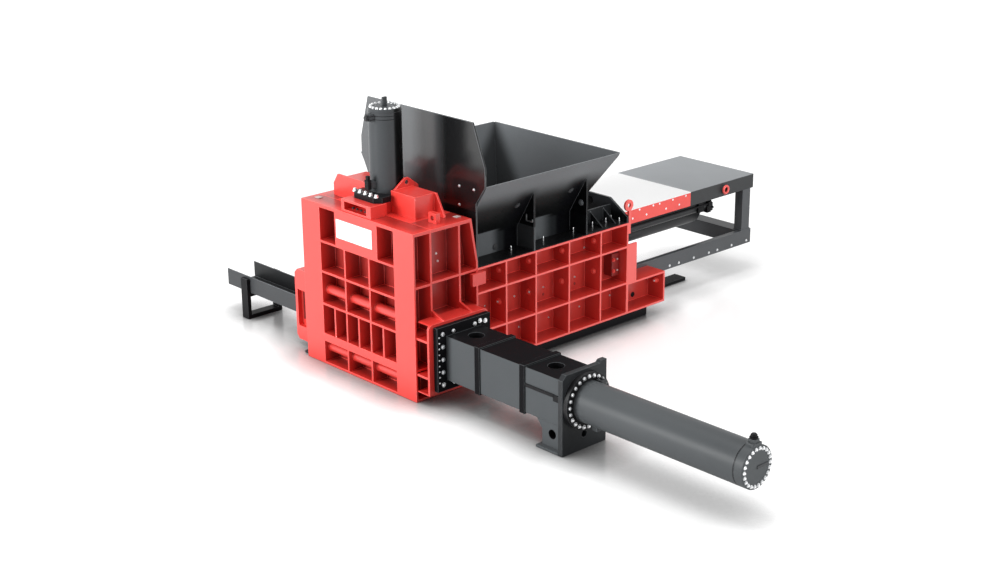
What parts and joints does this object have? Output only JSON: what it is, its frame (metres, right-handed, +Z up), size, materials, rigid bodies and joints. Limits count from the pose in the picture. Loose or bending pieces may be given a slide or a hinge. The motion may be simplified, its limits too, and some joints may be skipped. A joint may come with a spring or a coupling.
{
  "type": "recycling baler",
  "caption": "Heavy scrap metal baler with charging hopper, press box, hydraulic rams, side ram guide, sliding bale gate and outlet chute.",
  "frame": {"origin": "on the floor under the middle of the bale chamber, on the bottom face of the bed", "axes": "+X along the press box towards the main ram, +Y towards the outlet chute, +Z up"},
  "size_m": [9.545, 12.88, 4.955],
  "materials": {
    "red_paint": "gloss paint on welded plate",
    "grey_paint": "dark satin paint on plate and barrels",
    "black_paint": "satin black paint",
    "wear_steel": "bare rolled wear plate",
    "rod_chrome": "hard chrome",
    "bolt_steel": "zinc plated"
  },
  "bodies": {
    "base": {"head_front_frame": "red_paint", "head_near_side": "red_paint", "head_far_side": "red_paint", "head_lifting_ear": "red_paint", "head_deck": "red_paint", "bed": "red_paint", "press_box_near_wall": "red_paint", "press_box_far_wall": "red_paint", "top_cylinder_seat": "red_paint", "deck_housing_near": "red_paint", "deck_housing_far": "red_paint", "gate_frame": "red_paint", "gate_bracket": "red_paint", "rail_near": "grey_paint", "rail_far": "grey_paint", "rail_end_tie": "grey_paint", "cylinder_bulkhead": "grey_paint", "main_barrel_centre": "grey_paint", "main_barrel_near": "grey_paint", "main_barrel_far": "grey_paint", "top_cylinder_barrel": "grey_paint", "top_cylinder_cap": "grey_paint", "side_cylinder_barrel": "grey_paint", "side_cylinder_cap": "grey_paint", "gate_cylinder_barrel": "grey_paint", "rear_portal": "grey_paint", "hopper_near_wall": "grey_paint", "hopper_far_wall": "grey_paint", "hopper_front_wall": "grey_paint", "hopper_rear_wall": "grey_paint", "side_guide_box": "grey_paint", "side_guide_leg": "grey_paint", "head_foot": "black_paint", "skid_near_outer": "black_paint", "skid_near_inner": "black_paint", "skid_far_inner": "black_paint", "skid_far_outer": "black_paint", "side_end_plate": "black_paint", "bale_chute": "black_paint", "chute_stand": "black_paint", "floor_liner": "wear_steel", "front_liner": "wear_steel", "flange_bolts": "bolt_steel"},
    "main_ram": {"main_ram_face": "red_paint", "main_ram_shell": "red_paint", "main_ram_wear_top": "wear_steel", "carriage_apron": "grey_paint", "carriage_near_leg": "grey_paint", "carriage_far_leg": "grey_paint", "main_rod_centre": "rod_chrome", "main_rod_near": "rod_chrome", "main_rod_far": "rod_chrome"},
    "top_ram": {"top_ram_platen": "wear_steel", "top_ram_rod": "rod_chrome"},
    "side_ram": {"side_ram_block": "wear_steel", "side_ram_rod": "rod_chrome"},
    "gate": {"gate_plate": "wear_steel", "gate_rod": "rod_chrome"}
  },
  "joints": [
    {"name": "main_ram_slide", "type": "slide", "parent": "base", "child": "main_ram", "axis": [-1, 0, 0], "range_m": [0, 3.175]},
    {"name": "top_ram_slide", "type": "slide", "parent": "base", "child": "top_ram", "axis": [0, 0, -1], "range_m": [0, 0.954]},
    {"name": "side_ram_slide", "type": "slide", "parent": "base", "child": "side_ram", "axis": [0, 1, 0], "range_m": [0, 2.8]},
    {"name": "gate_slide", "type": "slide", "parent": "base", "child": "gate", "axis": [1, 0, 0], "range_m": [0, 0.7]}
  ]
}
